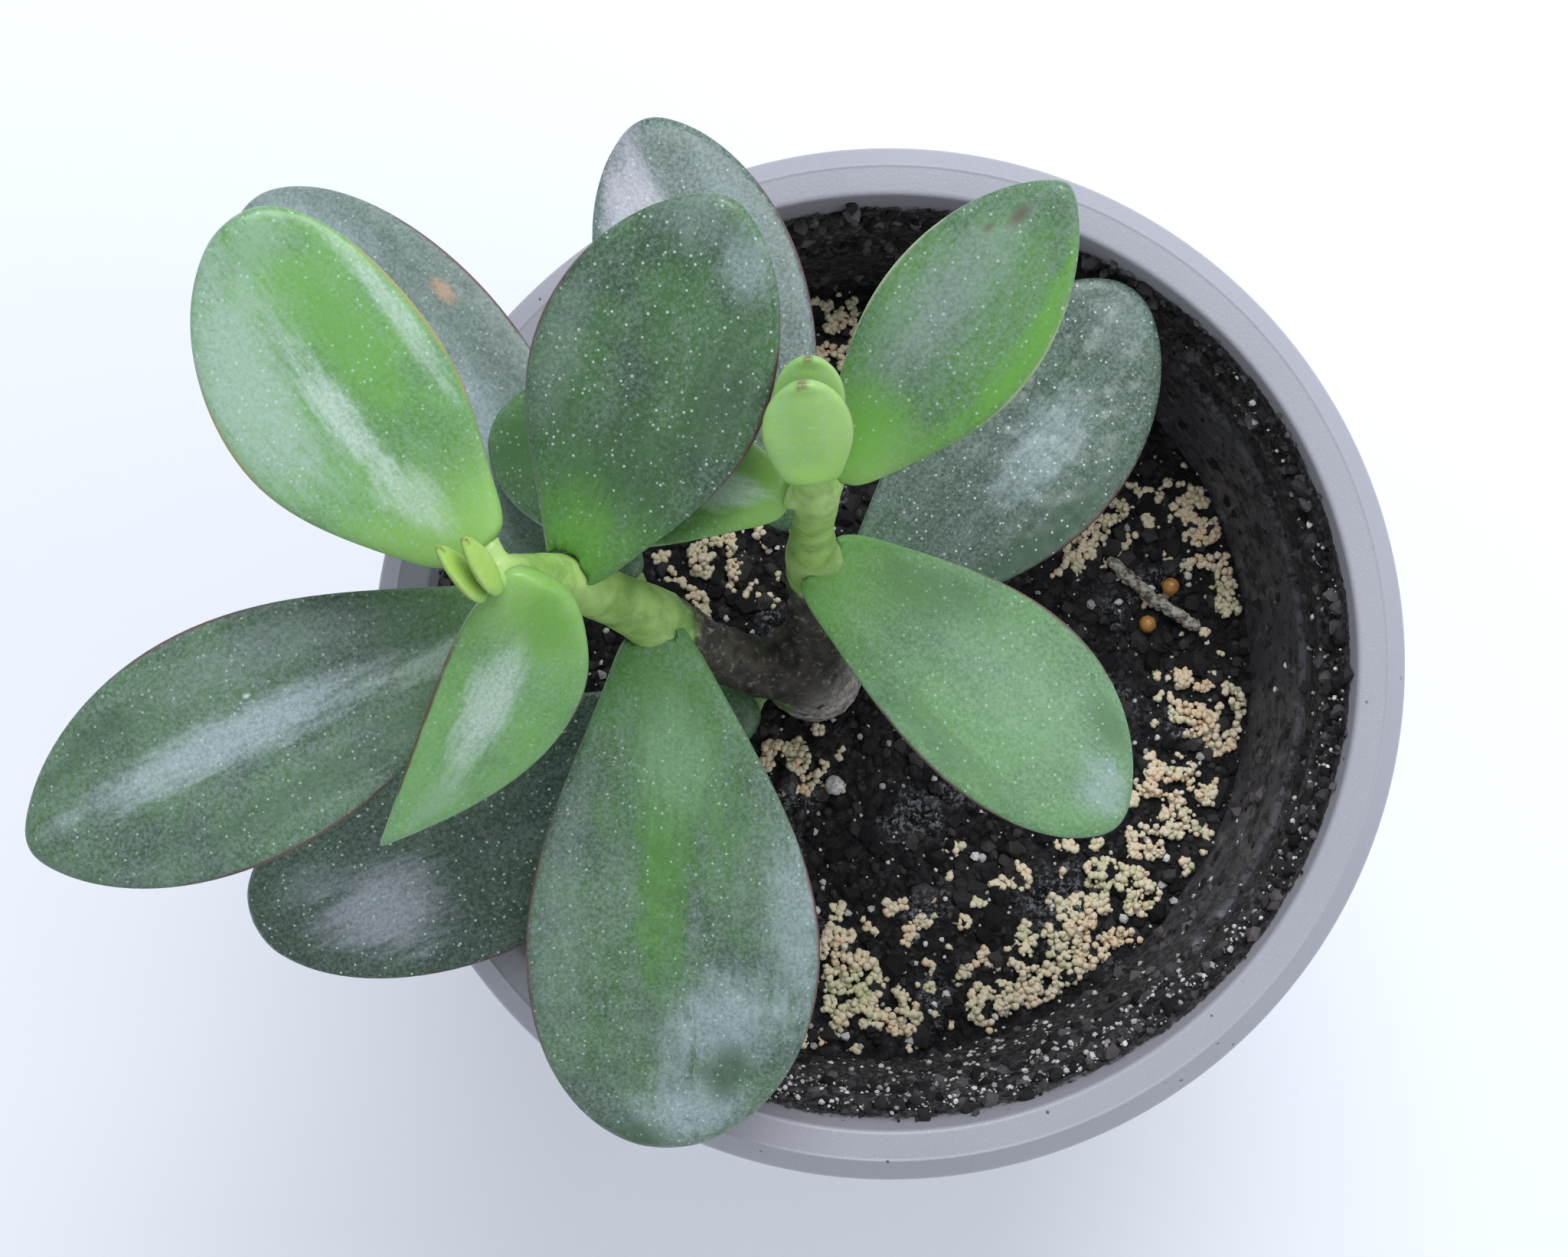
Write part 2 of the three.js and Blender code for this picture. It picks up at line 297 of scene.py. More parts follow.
def measure_leaf(mesh):
    """Stores how far along and across the leaf each point lies, which side it faces, and its own frame."""
    points = coordinates(mesh)
    centre, (long_axis, _, flat_axis) = longest_axes(points)
    along = (points - centre) @ long_axis
    ends = points[along.argmin()], points[along.argmax()]
    if stem_distance(ends[1]) < stem_distance(ends[0]):
        along, long_axis = -along, -long_axis
    if flat_axis[2] < 0:
        flat_axis = -flat_axis
    wide = (points - centre) @ np.cross(flat_axis, long_axis)
    flat = (points - centre) @ flat_axis
    share = (along - along.min()) / (along.max() - along.min())
    stations = np.linspace(0, 1, STATIONS)
    slices = [wide[np.abs(share - station) < STATION_REACH] for station in stations]
    right = np.interp(share, stations, [part.min() for part in slices])
    left = np.interp(share, stations, [part.max() for part in slices])
    across = np.clip((2 * wide - left - right) / np.maximum(left - right, 0.5 * MM), -1, 1)
    store(mesh, "along", share)
    store(mesh, "across", across)
    store(mesh, "upper", normals(mesh) @ flat_axis)
    own = mesh.attributes.new("own_place", "FLOAT_VECTOR", "POINT")
    own.data.foreach_set("vector", np.stack([along, wide, flat], axis=1).astype(np.float32).ravel())


STEM_POINTS = coordinates(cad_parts["stem"].data)


def stem_distance(point):
    return float(np.min(np.linalg.norm(STEM_POINTS - point, axis=1)))


# Leaf colours, linear; each bloom colour is both real wax bloom and painted sheen, the window's soft
# highlight laid into the leaf's colour
DEEP = (0.030, 0.075, 0.034)
BLUE_DEEP = (0.026, 0.060, 0.038)
MID = (0.050, 0.135, 0.040)
LEAF = (0.075, 0.215, 0.040)
BRIGHT = (0.120, 0.330, 0.045)
LIME = (0.230, 0.450, 0.085)
GREY_BLOOM_AND_SHEEN = (0.270, 0.340, 0.330)
BLUE_BLOOM_AND_SHEEN = (0.330, 0.410, 0.440)
GREEN_BLOOM_AND_SHEEN = (0.250, 0.420, 0.270)
WHITE_BLOOM_AND_SHEEN = (0.520, 0.640, 0.580)
SKY_BLOOM_AND_SHEEN = (0.370, 0.450, 0.480)
PEARL_BLOOM_AND_SHEEN = (0.390, 0.440, 0.490)
LILAC_BLOOM_AND_SHEEN = (0.400, 0.400, 0.460)
SAGE_BLOOM_AND_SHEEN = (0.300, 0.440, 0.350)
RIB = (0.080, 0.240, 0.035)
NEW_LEAF = (0.320, 0.540, 0.120)
BUD = ((0.360, 0.580, 0.090), (0.460, 0.680, 0.150))
RED = (0.105, 0.028, 0.034)
TAN = (0.480, 0.330, 0.230)
WAX_DOT = (0.600, 0.720, 0.680)
UNDERSIDE = (0.150, 0.240, 0.120)


def leaf_material(
    name, flesh, second, base, film, amount, patches_and_sheen, margin=RED, dots=0.6, hammer=0.1, roughness=0.4
):
    """
    Waxy leaf: two mottled greens that give way to a base colour near the stem, a granular film of bloom,
    tiny pale dots, a thin margin line and a paler underside. The amount is the film's cover. A mark is a
    soft patch: (colour, along, across, reach along, reach across, strength), with along 0 at the base and 1
    at the tip, and across +1 at the left margin seen from the base. A mark in a bloom colour is partly real
    wax bloom and partly painted sheen, the soft highlight of the window laid into the colour.
    """
    g = Graph(name)
    g.object_place = g.add("ShaderNodeAttribute", attribute_name="own_place").outputs["Vector"]
    along, across, upper = g.attribute("along"), g.attribute("across"), g.attribute("upper")
    edge = g.math("ABSOLUTE", across)
    grain = g.noise(0.42 * MM, detail=2, rough=0.75)
    streak = g.noise(2.6 * MM, detail=4, rough=0.65, stretch=(0.22, 1, 1))
    cloud = g.noise(8 * MM, detail=4, rough=0.6)
    colour = g.mix(g.span(cloud, 0.36, 0.64), flesh, second)
    colour = g.mix(g.span(along, 0.02, 0.34, 0.9, 0.0), colour, base)
    cover = g.math("ADD", g.span(grain, 0.3, 0.7, -0.2, 0.2), g.span(streak, 0.3, 0.7, -0.08, 0.08))
    cover = g.math("ADD", cover, g.span(along, 0.0, 0.35, amount * 0.35, amount))
    colour = g.mix(cover, colour, film)
    fibre = g.noise(0.9 * MM, detail=3, rough=0.7, stretch=(0.2, 1, 1), warp=0.4)
    ragged = g.math("ADD", g.math("MULTIPLY", streak, 0.9), fibre)
    ragged = g.math("SUBTRACT", ragged, 0.95)
    speckle = g.span(grain, 0.3, 0.7, 0.7, 1.15)
    # Patches in the bloom colours are partly painted sheen: soft highlights and glints laid into the colour
    for shade, at, beside, reach, spread, strength in patches_and_sheen:
        down = g.math("DIVIDE", g.math("SUBTRACT", along, at), reach)
        aside = g.math("DIVIDE", g.math("SUBTRACT", across, beside), spread)
        patch = g.span(g.math("ADD", g.hypotenuse(down, aside), ragged), 0.2, 1.05, strength, 0.0)
        colour = g.mix(g.math("MULTIPLY", patch, speckle), colour, shade)
    distance, cell = g.cells(0.85 * MM)
    dot = g.math("MULTIPLY", g.span(distance, 0.11, 0.22, 1.0, 0.0), g.span(cell, 0.2, 0.8, 0.25, 1.0))
    dot = g.math("MULTIPLY", dot, g.span(along, 0.05, 0.3, 0.3, 1.0))
    colour = g.mix(g.math("MULTIPLY", dot, dots), colour, WAX_DOT)
    colour = g.mix(g.span(upper, 0.0, -0.4, 0.0, 0.6), colour, UNDERSIDE)
    line = g.math("MULTIPLY", g.span(edge, 0.945, 0.98), g.span(along, 0.12, 0.4))
    rim_side = g.math("ABSOLUTE", g.math("SUBTRACT", upper, 0.3))
    line = g.math("MULTIPLY", line, g.span(rim_side, 0.3, 0.65, 1.0, 0.15))
    line = g.math("MULTIPLY", line, g.span(g.noise(5 * MM), 0.3, 0.5, 0.45, 0.9))
    colour = g.mix(line, colour, margin)
    swell = g.math("MULTIPLY", g.cells(2.3 * MM, feature="SMOOTH_F1")[0], g.span(along, 0.25, 0.6))
    hammered = g.bump(swell, 0.6 * MM, strength=hammer)
    fine = g.bump(grain, 0.05 * MM, strength=0.5, under=hammered)
    dulled = g.span(cover, 0.0, 1.0, roughness, roughness + 0.12)
    return g.finish(colour, dulled, fine, Specular_IOR_Level=0.5)


def leaf_materials():
    """Every leaf's finish by name: how dark, how waxy, how dotted and how hammered it is, and where sheen is
    painted on it.
    """
    finishes = {
        "leaf_base_left": leaf_material(
            "skin_base_left", BLUE_DEEP, DEEP, MID, GREY_BLOOM_AND_SHEEN, 0.16,
            [(PEARL_BLOOM_AND_SHEEN, 0.78, 0.3, 0.16, 0.6, 0.9), (BLUE_BLOOM_AND_SHEEN, 0.88, -0.2, 0.1, 0.4, 0.3)],
            dots=0.95, hammer=0.3, roughness=0.34,
        ),
        "leaf_base_right": leaf_material(
            "skin_base_right", BLUE_DEEP, DEEP, MID, GREY_BLOOM_AND_SHEEN, 0.2,
            [(BLUE_BLOOM_AND_SHEEN, 0.6, -0.2, 0.2, 0.4, 0.6), (GREY_BLOOM_AND_SHEEN, 0.93, 0.0, 0.1, 0.8, 0.4),
             (DEEP, 0.42, -0.8, 0.35, 0.38, 0.75), (DEEP, 0.55, 0.75, 0.3, 0.3, 0.5)],
            dots=0.75, hammer=1.0, roughness=0.36,
        ),
        "leaf_a_front": leaf_material(
            "skin_a_front", DEEP, MID, LEAF, GREY_BLOOM_AND_SHEEN, 0.24,
            [(BLUE_BLOOM_AND_SHEEN, 0.73, 0.42, 0.13, 0.5, 0.75), (BLUE_BLOOM_AND_SHEEN, 0.92, 0.15, 0.09, 0.8, 0.7),
             (BLUE_BLOOM_AND_SHEEN, 0.8, 0.02, 0.15, 0.2, 0.45), (GREY_BLOOM_AND_SHEEN, 0.5, -0.8, 0.4, 0.2, 0.25),
             (BLUE_BLOOM_AND_SHEEN, 0.55, 0.85, 0.25, 0.3, 0.6), (DEEP, 0.83, 0.45, 0.08, 0.22, 0.7),
             (RIB, 0.47, -0.08, 0.26, 0.26, 0.65), (LEAF, 0.26, 0.1, 0.26, 0.8, 0.7),
             (GREEN_BLOOM_AND_SHEEN, 0.22, 0.1, 0.16, 0.6, 0.4), (DEEP, 0.97, -0.4, 0.06, 0.5, 0.7)],
            dots=0.5, hammer=0.9,
        ),
        "leaf_a_back": leaf_material(
            "skin_a_back", BLUE_DEEP, DEEP, MID, GREY_BLOOM_AND_SHEEN, 0.56,
            [(BLUE_BLOOM_AND_SHEEN, 0.45, -0.15, 0.4, 0.4, 0.7), (BLUE_BLOOM_AND_SHEEN, 0.85, -0.3, 0.2, 0.5, 0.55),
             (TAN, 0.6, -0.74, 0.05, 0.1, 1.0)],
            dots=0.45, hammer=0.7,
        ),
        "leaf_b_left": leaf_material(
            "skin_b_left", DEEP, MID, LEAF, GREY_BLOOM_AND_SHEEN, 0.26,
            [(SKY_BLOOM_AND_SHEEN, 0.6, -0.05, 0.42, 0.3, 0.78), (WHITE_BLOOM_AND_SHEEN, 0.17, 0.12, 0.16, 0.28, 0.55),
             (DEEP, 0.8, -0.6, 0.2, 0.22, 0.35), (GREY_BLOOM_AND_SHEEN, 0.45, -0.6, 0.3, 0.3, 0.35),
             (DEEP, 0.45, 0.62, 0.4, 0.25, 0.35), (WHITE_BLOOM_AND_SHEEN, 0.52, -0.3, 0.012, 0.03, 1.0)],
            dots=0.45, hammer=0.35,
        ),
        "leaf_b_right": leaf_material(
            "skin_b_right", DEEP, MID, LEAF, GREY_BLOOM_AND_SHEEN, 0.1,
            [(BLUE_BLOOM_AND_SHEEN, 0.88, -0.55, 0.12, 0.45, 0.55), (DEEP, 0.55, -0.6, 0.3, 0.4, 0.5),
             (GREY_BLOOM_AND_SHEEN, 0.5, 0.8, 0.3, 0.3, 0.3), (GREY_BLOOM_AND_SHEEN, 0.93, 0.2, 0.1, 0.8, 0.5),
             (MID, 0.25, 0.1, 0.24, 0.9, 0.6), (BRIGHT, 0.06, 0.1, 0.2, 1.3, 0.6)],
            dots=0.7,
        ),
        "leaf_c_back": leaf_material(
            "skin_c_back", LEAF, BRIGHT, LIME, GREEN_BLOOM_AND_SHEEN, 0.28,
            [(SAGE_BLOOM_AND_SHEEN, 0.68, 0.6, 0.5, 0.8, 0.95), (WHITE_BLOOM_AND_SHEEN, 0.46, 0.08, 0.24, 0.24, 0.65),
             (WHITE_BLOOM_AND_SHEEN, 0.2, 0.05, 0.14, 0.4, 0.45), (WHITE_BLOOM_AND_SHEEN, 0.6, -0.84, 0.36, 0.14, 0.6),
             (GREEN_BLOOM_AND_SHEEN, 0.93, -0.2, 0.12, 0.7, 0.8), (BRIGHT, 0.62, -0.35, 0.3, 0.3, 0.5)],
            margin=(0.36, 0.30, 0.10), dots=0.45, hammer=0.03, roughness=0.32,
        ),
        "leaf_c_front": leaf_material(
            "skin_c_front", LEAF, BRIGHT, LIME, GREEN_BLOOM_AND_SHEEN, 0.32,
            [(WHITE_BLOOM_AND_SHEEN, 0.45, -0.2, 0.32, 0.5, 0.7), (BRIGHT, 0.12, 0.2, 0.16, 0.8, 0.7),
             (GREEN_BLOOM_AND_SHEEN, 0.8, 0.0, 0.2, 0.6, 0.6)],
            dots=0.3, roughness=0.32,
        ),
        "leaf_d_right": leaf_material(
            "skin_d_right", MID, LEAF, BRIGHT, GREEN_BLOOM_AND_SHEEN, 0.38,
            [(GREEN_BLOOM_AND_SHEEN, 0.6, 0.2, 0.4, 0.7, 0.4), (BLUE_BLOOM_AND_SHEEN, 0.9, 0.1, 0.1, 0.6, 0.6),
             (MID, 0.8, 0.7, 0.12, 0.3, 0.5), (MID, 0.5, -0.75, 0.35, 0.25, 0.45),
             (MID, 0.25, 0.5, 0.2, 0.5, 0.4)],
            dots=0.45, hammer=0.12,
        ),
        "leaf_d_back": leaf_material(
            "skin_d_back", BLUE_DEEP, DEEP, MID, BLUE_BLOOM_AND_SHEEN, 0.26,
            [(LILAC_BLOOM_AND_SHEEN, 0.8, 0.45, 0.3, 0.55, 0.95), (BLUE_BLOOM_AND_SHEEN, 0.7, -0.6, 0.3, 0.3, 0.4)],
            dots=0.5,
        ),
        "leaf_e_right": leaf_material(
            "skin_e_right", MID, LEAF, LIME, GREY_BLOOM_AND_SHEEN, 0.2,
            [(GREY_BLOOM_AND_SHEEN, 0.6, 0.3, 0.45, 0.6, 0.5), (BRIGHT, 0.58, -0.85, 0.5, 0.32, 0.95),
             (BRIGHT, 0.16, 0.0, 0.2, 0.9, 0.8), (RED, 0.86, 0.3, 0.05, 0.16, 0.55),
             (RED, 0.79, 0.5, 0.03, 0.08, 0.5)],
            margin=(0.34, 0.42, 0.22), dots=0.5, roughness=0.34,
        ),
        "leaf_e_left": leaf_material(
            "skin_e_left", MID, LEAF, LIME, GREEN_BLOOM_AND_SHEEN, 0.1,
            [(WHITE_BLOOM_AND_SHEEN, 0.2, 0.1, 0.18, 0.45, 0.65), (BRIGHT, 0.4, 0.0, 0.2, 0.8, 0.6),
             (MID, 0.85, 0.0, 0.25, 1.0, 0.8)],
            margin=(0.24, 0.34, 0.18), dots=0.4, roughness=0.34,
        ),
    }
    fresh = leaf_material(
        "skin_fresh", LIME, NEW_LEAF, LIME, GREEN_BLOOM_AND_SHEEN, 0.22, [(RED, 1.0, 0.0, 0.07, 0.5, 0.7)],
        margin=(0.26, 0.36, 0.12), dots=0.15, hammer=0.02, roughness=0.4,
    )
    unfolding = leaf_material(
        "skin_bud", *BUD, LIME, GREEN_BLOOM_AND_SHEEN, 0.1, [(RED, 1.0, 0.0, 0.1, 0.6, 0.7)],
        margin=(0.30, 0.34, 0.12), dots=0.1, hammer=0.02, roughness=0.34,
    )
    finishes.update({name: unfolding for name in LEAVES if name.startswith("bud")})
    return {name: finishes.get(name, fresh) for name in LEAVES}


def build_leaves():
    skins = leaf_materials()
    for leaf in LEAVES:
        place_piece(leaf + "_skin", refined_leaf(leaf), skins[leaf], [leaf])


# ---------------------------------------------------------------- stem

FOOT_REACH = 1.4 * MM  # a leaf's foot ends this much further from the stem than it begins
NECK_AT_LEAF = 0.72  # the neck's thickness at the leaf, as a share of the leaf's foot
NECK_IN_STEM = 0.6  # and inside the stem
NECK_SINK = 1.6  # how far the neck runs into the stem, as a multiple of the way to the stem's skin
REGAIN = 0.18 * MM  # grows the skin back after the smoothing has thinned it
BARK_TOP, GREEN_FOOT = RIM_TOP + 21 * MM, RIM_TOP + 27 * MM  # bark gives way to green between them
YOUNG_LOW, YOUNG_HIGH = RIM_TOP + 5 * MM, RIM_TOP + 42 * MM  # the green brightens between them
CORK_TOP, CORK_FULL = RIM_TOP + 9 * MM, RIM_TOP - 8 * MM  # cork thickens downwards between them

# Stem colours, linear; a pair is two tones that a pattern mixes
BARK = ((0.016, 0.014, 0.010), (0.070, 0.058, 0.040))
TINGE = (0.045, 0.062, 0.030)
SCURF = (0.340, 0.340, 0.320)
CORK = ((0.620, 0.580, 0.560), (0.270, 0.240, 0.210))
DULL_GREEN = ((0.110, 0.230, 0.050), (0.200, 0.350, 0.090))
YOUNG_GREEN = ((0.205, 0.375, 0.080), (0.355, 0.555, 0.145))
JOINT_GREEN = (0.400, 0.580, 0.200)
GREEN_SCURF = (0.450, 0.540, 0.360)


def leaf_foot(name):
    """The centre of a leaf's foot, its end nearest the stem, and the foot's points."""
    points = coordinates(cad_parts[name].data)
    distances = np.array([stem_distance(p) for p in points])
    foot = points[distances < distances.min() + FOOT_REACH]
    return foot.mean(0), foot


def stem_mesh(feet):
    """The CAD stem and a fleshy neck to each leaf, melted into one smooth skin."""
    bm = bmesh.new()
    bm.from_mesh(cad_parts["stem"].data)
    for centre, points in feet.values():
        nearest = STEM_POINTS[np.linalg.norm(STEM_POINTS - centre, axis=1).argsort()[:6]].mean(0)
        inward = (nearest - centre) * NECK_SINK
        arms = points - centre
        shell = np.concatenate([centre + arms * NECK_AT_LEAF, centre + arms * NECK_IN_STEM + inward])
        hull = bmesh.ops.convex_hull(bm, input=[bm.verts.new(p) for p in shell])
        spare = {v for v in hull["geom_interior"] + hull["geom_unused"] if isinstance(v, bmesh.types.BMVert)}
        loose = [v for v in spare if v.is_valid and not v.link_faces]
        bmesh.ops.delete(bm, geom=loose, context="VERTS")
    rough = bpy.data.meshes.new("stem_rough")
    bm.to_mesh(rough)
    bm.free()
    return through_modifiers(
        rough,
        ("REMESH", {"mode": "VOXEL", "voxel_size": 0.35 * MM}),
        ("SMOOTH", {"factor": 0.5, "iterations": 34}),
    )


def leaf_pairs():
    """The names of the two leaves that grow from each joint of the stem below its tips."""
    grown = [name for name in LEAVES if not name.startswith(("leaf_top", "bud"))]
    joints = sorted({name.rsplit("_", 1)[0] for name in grown})
    return [tuple(n for n in grown if n.rsplit("_", 1)[0] == joint) for joint in joints]


def build_stem():
    """The stem's skin, wrinkled where it is bark, with measures of where it is green, young and corky."""
    feet = {name: leaf_foot(name) for name in LEAVES}
    mesh = stem_mesh(feet)
    points, outward = coordinates(mesh), normals(mesh)
    centres = np.array([feet[name][0] for name in LEAVES])
    to_leaf = np.min(np.linalg.norm(points[:, None, :] - centres[None], axis=2), axis=1)
    green = np.maximum(
        smoothstep(BARK_TOP, GREEN_FOOT, points[:, 2]),
        smoothstep(6.0 * MM, 3.5 * MM, to_leaf),
    )
    trunk = STEM_POINTS[STEM_POINTS[:, 2] < RIM_TOP].mean(0)
    # Cork climbs higher on the trunk's side at +x and -y
    outer = (points[:, 0] - trunk[0] - points[:, 1] + trunk[1]) / (6 * MM)
    cork = smoothstep(CORK_TOP, CORK_FULL, points[:, 2] - np.clip(outer, -1, 1) * 8 * MM)
    wrinkle = np.array([noise.fractal(Vector(p) * 700, 0.8, 2.0, 3) for p in points])
    depth = (0.28 * (1 - green) + 0.03) * MM
    pairs = np.array([(feet[a][0] + feet[b][0]) / 2 for a, b in leaf_pairs()])
    to_pair = np.min(np.linalg.norm(points[:, None, :] - pairs[None], axis=2), axis=1)
    joint = smoothstep(4.5 * MM, 2.2 * MM, to_pair)
    set_coordinates(mesh, points + outward * (wrinkle * depth + REGAIN)[:, None])
    store(mesh, "joint", joint)
    store(mesh, "young", smoothstep(YOUNG_LOW, YOUNG_HIGH, points[:, 2]))
    store(mesh, "green", green)
    store(mesh, "cork", cork)
    mesh.name = "stem_skin"
    place_piece("stem_skin", mesh, stem_material(), ["stem"])


def stem_material():
    """Dark bark with whitish scurf, corky at the foot, and mottled green above that brightens upwards."""
    g = Graph("stem_skin")
    green, cork = g.attribute("green"), g.attribute("cork")
    streak = g.noise(1.6 * MM, detail=5, rough=0.65, stretch=(1, 1, 0.45))
    scurf = g.noise(1.1 * MM, detail=6, rough=0.75)
    bark = g.mix(g.span(streak, 0.35, 0.65), *BARK)
    tinge = g.noise(7 * MM, detail=3)
    bark = g.mix(g.span(tinge, 0.45, 0.6, 0.0, 0.55), bark, TINGE)
    bark = g.mix(g.span(scurf, 0.54, 0.66, 0.0, 0.6), bark, SCURF)
    scale = g.math("MULTIPLY", cork, g.span(g.noise(2.4 * MM, detail=6, rough=0.7), 0.32, 0.5))
    flake = g.mix(g.span(scurf, 0.42, 0.6), *CORK)
    bark = g.mix(scale, bark, flake)
    mottle = g.span(g.noise(3 * MM, detail=4), 0.35, 0.65)
    fresh = g.mix(g.attribute("young"), g.mix(mottle, *DULL_GREEN), g.mix(mottle, *YOUNG_GREEN))
    fresh = g.mix(g.math("MULTIPLY", g.attribute("joint"), 0.6), fresh, JOINT_GREEN)
    fresh = g.mix(g.span(scurf, 0.5, 0.7, 0.0, 0.45), fresh, GREEN_SCURF)
    patchy = g.math("ADD", green, g.math("MULTIPLY", g.math("SUBTRACT", streak, 0.5), 0.7))
    colour = g.mix(g.span(patchy, 0.3, 0.7), bark, fresh)
    roughness = g.span(green, 0.0, 1.0, 0.7, 0.38)
    return g.finish(colour, roughness, g.bump(streak, 0.25 * MM, strength=0.6))


# ---------------------------------------------------------------- pot

# Pot colours, linear; a pair is two tones that a pattern mixes
PLASTIC = ((0.325, 0.325, 0.372), (0.375, 0.375, 0.425))
GLITTER_GLINT = (0.660, 0.660, 0.740)
DIRT = (0.090, 0.075, 0.055)
GRIME = ((0.024, 0.024, 0.029), (0.085, 0.083, 0.098))
SMEAR = (0.260, 0.260, 0.290)
CLINGING_SOIL = ((0.014, 0.013, 0.015), (0.070, 0.066, 0.068))


def pot_measures():
    """The CAD pot's opening radius, how fast its wall opens with height, its floor and its rim band."""
    points = coordinates(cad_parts["pot"].data)
    radius = np.hypot(points[:, 0], points[:, 1])
    opening = radius[points[:, 2] > RIM_TOP - 1 * MM].min()
    heights = np.unique(np.round(points[:, 2], 6))
    floor = heights[(heights > 1.6 * MM) & (heights < 4 * MM)][0]
    foot = radius[np.abs(points[:, 2] - floor) < 0.05 * MM].max()
    band_foot = points[radius > RIM_RADIUS - 1.3 * MM][:, 2].min()
    return opening, (opening - foot) / (RIM_TOP - floor), floor, band_foot


INNER_TOP, INNER_SLOPE, POT_FLOOR, BAND_FOOT = pot_measures()
WALL = 1.8 * MM
RIDGE_DEPTHS = (10 * MM, 17 * MM)


def wall_radius(z):
    """The pot's inner radius at a height."""
    return INNER_TOP + (z - RIM_TOP) * INNER_SLOPE


def drain_places():
    """The middle and radius of each drain hole in the underside of the CAD pot."""
    points = coordinates(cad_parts["pot"].data)
    radius = np.hypot(points[:, 0], points[:, 1])
    under = points[(points[:, 2] < 0.01 * MM) & (radius > 1 * MM) & (radius < 0.8 * wall_radius(0))]
    places = []
    for side_x in (-1, 1):
        for side_y in (-1, 1):
            ring = under[(under[:, 0] * side_x > 0) & (under[:, 1] * side_y > 0)][:, :2]
            middle = ring.mean(0)
            places.append((middle, np.linalg.norm(ring - middle, axis=1).max()))
    return places


def rounded(corner, before, after, reach, steps=5):
    """Points that turn the corner smoothly between two neighbouring profile points."""
    corner, before, after = Vector(corner), Vector(before), Vector(after)
    start = corner + (before - corner).normalized() * reach
    end = corner + (after - corner).normalized() * reach
    fractions = [i / steps for i in range(steps + 1)]
    return [start * (1 - f) ** 2 + corner * 2 * f * (1 - f) + end * f * f for f in fractions]


def pot_profile():
    """Radius and height around the pot's section: underside, outside, rim, inside, floor."""
    base = wall_radius(0) + WALL
    outer, top = RIM_RADIUS, RIM_TOP
    corners = [
        ((0, 0), 0),
        ((base, 0), 1.5 * MM),
        ((wall_radius(BAND_FOOT) + WALL, BAND_FOOT), 0.6 * MM),
        ((outer - 0.9 * MM, BAND_FOOT), 0.8 * MM),
        ((outer, top - 2.6 * MM), 0.8 * MM),
        ((outer - 2.3 * MM, top - 0.35 * MM), 0.2 * MM),
        ((outer - 2.6 * MM, top), 0.12 * MM),
        ((outer - 2.9 * MM, top - 0.1 * MM), 0.12 * MM),
        ((INNER_TOP + 0.2 * MM, top - 0.15 * MM), 0.6 * MM),
    ]
    for depth in RIDGE_DEPTHS:
        radius = wall_radius(top - depth)
        corners.append(((radius + 0.05 * MM, top - depth + 0.5 * MM), 0.2 * MM))
        corners.append(((radius - 0.75 * MM, top - depth), 0.25 * MM))
    corners.append(((wall_radius(POT_FLOOR), POT_FLOOR), 0.8 * MM))
    corners.append(((0, POT_FLOOR), 0))
    profile = []
    for i, (corner, reach) in enumerate(corners):
        if reach:
            profile += rounded(corner, corners[i - 1][0], corners[i + 1][0], reach)
        else:
            profile.append(Vector(corner))
    return profile


def lathe(profile, sides):
    """The profile turned around the pot's axis."""
    vertices, faces = [], []
    for radius, z in profile:
        for i in range(sides):
            turn = math.tau * i / sides
            vertices.append((radius * math.cos(turn), radius * math.sin(turn), z))
    for ring in range(len(profile) - 1):
        a, b = ring * sides, (ring + 1) * sides
        for i in range(sides):
            j = (i + 1) % sides
            faces.append((a + i, a + j, b + j, b + i))
    return vertices, faces


def cut_drains(mesh):
    """Cuts the CAD pot's drain holes through the floor."""
    bm = bmesh.new()
    for (x, y), radius in drain_places():
        place = Matrix.Translation((x, y, POT_FLOOR / 2))
        size = {"radius1": radius, "radius2": radius, "depth": 3 * POT_FLOOR}
        bmesh.ops.create_cone(bm, cap_ends=True, segments=32, matrix=place, **size)
    tools = bpy.data.meshes.new("drains")
    bm.to_mesh(tools)
    bm.free()
    cutter = bpy.data.objects.new("drains", tools)
    bpy.context.scene.collection.objects.link(cutter)
    cut = {"object": cutter, "operation": "DIFFERENCE", "solver": "EXACT"}
    result = through_modifiers(mesh, ("BOOLEAN", cut))
    bpy.data.objects.remove(cutter)
    return result


def build_pot():
    """The pot as one turned shell with its drain holes cut."""
    vertices, faces = lathe(pot_profile(), 192)
    mesh = mesh_of("pot_shell", vertices, faces)
    bm = bmesh.new()
    bm.from_mesh(mesh)
    bmesh.ops.remove_doubles(bm, verts=bm.verts, dist=0.001 * MM)
    bmesh.ops.recalc_face_normals(bm, faces=bm.faces)
    bm.to_mesh(mesh)
    bm.free()
    place_piece("pot_shell", cut_drains(mesh), pot_material(), ["pot"])


